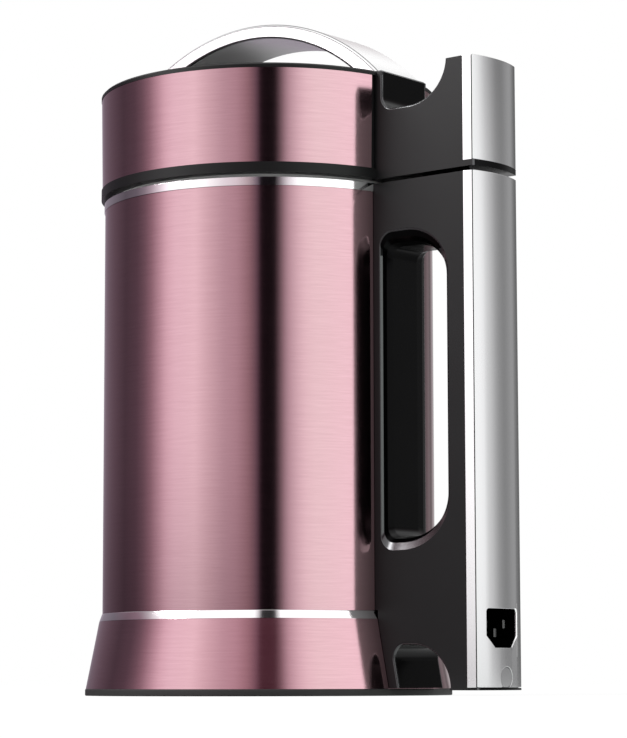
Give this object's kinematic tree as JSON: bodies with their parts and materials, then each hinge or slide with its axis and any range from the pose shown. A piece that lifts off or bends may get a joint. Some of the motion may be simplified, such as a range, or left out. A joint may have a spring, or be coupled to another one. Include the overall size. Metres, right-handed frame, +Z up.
{
  "type": "electric butter maker",
  "caption": "Upright butter maker: heated steel jug with a moulded side handle, and a lift-off motor head with an arch grip and a blade on a long shaft.",
  "frame": {"origin": "on the jug's axis, on the surface that the foot ring stands on", "axes": "+Z up along the jug's axis, +X towards the handle, +Y to the handle's left seen from the jug"},
  "size_m": [0.2262, 0.176, 0.3247],
  "materials": {
    "pink_steel": "brushed, rose coated",
    "bright_steel": "polished",
    "satin_silver": "satin",
    "black_plastic": "satin moulded",
    "panel_black": "gloss",
    "button_grey": "satin",
    "lens_white": "translucent",
    "stainless": "spun",
    "cast_aluminium": "cast",
    "heater_steel": "dull",
    "rubber_black": "matt",
    "silicone": "matt",
    "contact_brass": "plated",
    "screw_steel": "zinc plated",
    "lamination": "lacquered",
    "bearing_steel": "ground",
    "bush_bronze": "sintered",
    "board_green": "lacquered",
    "wire_sheath": "matt",
    "fan_plastic": "moulded"
  },
  "bodies": {
    "jug": {"foot_ring": "rubber_black", "base_cover": "black_plastic", "base_cover_screws": "screw_steel", "base_housing": "black_plastic", "base_skirt": "pink_steel", "lower_ring": "bright_steel", "outer_sleeve": "pink_steel", "upper_ring": "bright_steel", "inner_cup": "stainless", "heater_plate": "cast_aluminium", "heating_element": "heater_steel", "thermostat": "panel_black", "handle_body": "black_plastic", "handle_clamp": "screw_steel", "handle_screws": "screw_steel", "handle_strips": "bright_steel", "handle_foot": "black_plastic", "handle_face": "satin_silver", "inlet_housing": "black_plastic", "inlet_pins": "contact_brass", "screw_plug": "satin_silver", "handle_socket": "black_plastic", "socket_contacts": "contact_brass", "wiring_harness": "wire_sheath"},
    "head": {"head_housing": "black_plastic", "head_band": "pink_steel", "head_strips": "bright_steel", "head_face": "satin_silver", "head_plug": "black_plastic", "plug_pins": "contact_brass", "top_cover": "black_plastic", "control_panel": "panel_black", "led_lenses": "lens_white", "control_board": "board_green", "arch_handle": "bright_steel", "arch_screws": "screw_steel", "steel_bowl": "stainless", "seal_ring": "silicone", "shaft_tube": "stainless", "temperature_probe": "stainless", "motor_stator": "lamination", "motor_bracket_lower": "cast_aluminium", "motor_bracket_upper": "cast_aluminium", "motor_bearings": "bearing_steel", "motor_bolts": "screw_steel", "motor_mounts": "rubber_black", "motor_brushes": "panel_black", "power_board": "board_green", "shaft_bush": "bush_bronze", "shaft_seal": "rubber_black"},
    "rotor": {"drive_shaft": "bearing_steel", "rotor_core": "lamination", "commutator": "contact_brass", "cooling_fan": "fan_plastic", "blade": "stainless", "blade_nut": "stainless"},
    "start_button": {"start_button": "button_grey"},
    "time_button": {"time_button": "button_grey"},
    "temperature_button": {"temperature_button": "button_grey"},
    "clean_button": {"clean_button": "button_grey"}
  },
  "joints": [
    {"name": "head_lift", "type": "slide", "parent": "jug", "child": "head", "axis": [0, 0, 1], "range_m": [0, 0.25]},
    {"name": "blade_spin", "type": "hinge", "parent": "head", "child": "rotor", "pos_m": [0, 0, 0], "axis": [0, 0, 1], "continuous": true},
    {"name": "start_press", "type": "slide", "parent": "head", "child": "start_button", "axis": [0, 0, -1], "range_m": [0, 0.0008], "stiffness_N_per_m": 600},
    {"name": "time_press", "type": "slide", "parent": "head", "child": "time_button", "axis": [0, 0, -1], "range_m": [0, 0.0008], "stiffness_N_per_m": 600},
    {"name": "temperature_press", "type": "slide", "parent": "head", "child": "temperature_button", "axis": [0, 0, -1], "range_m": [0, 0.0008], "stiffness_N_per_m": 600},
    {"name": "clean_press", "type": "slide", "parent": "head", "child": "clean_button", "axis": [0, 0, -1], "range_m": [0, 0.0008], "stiffness_N_per_m": 600}
  ]
}
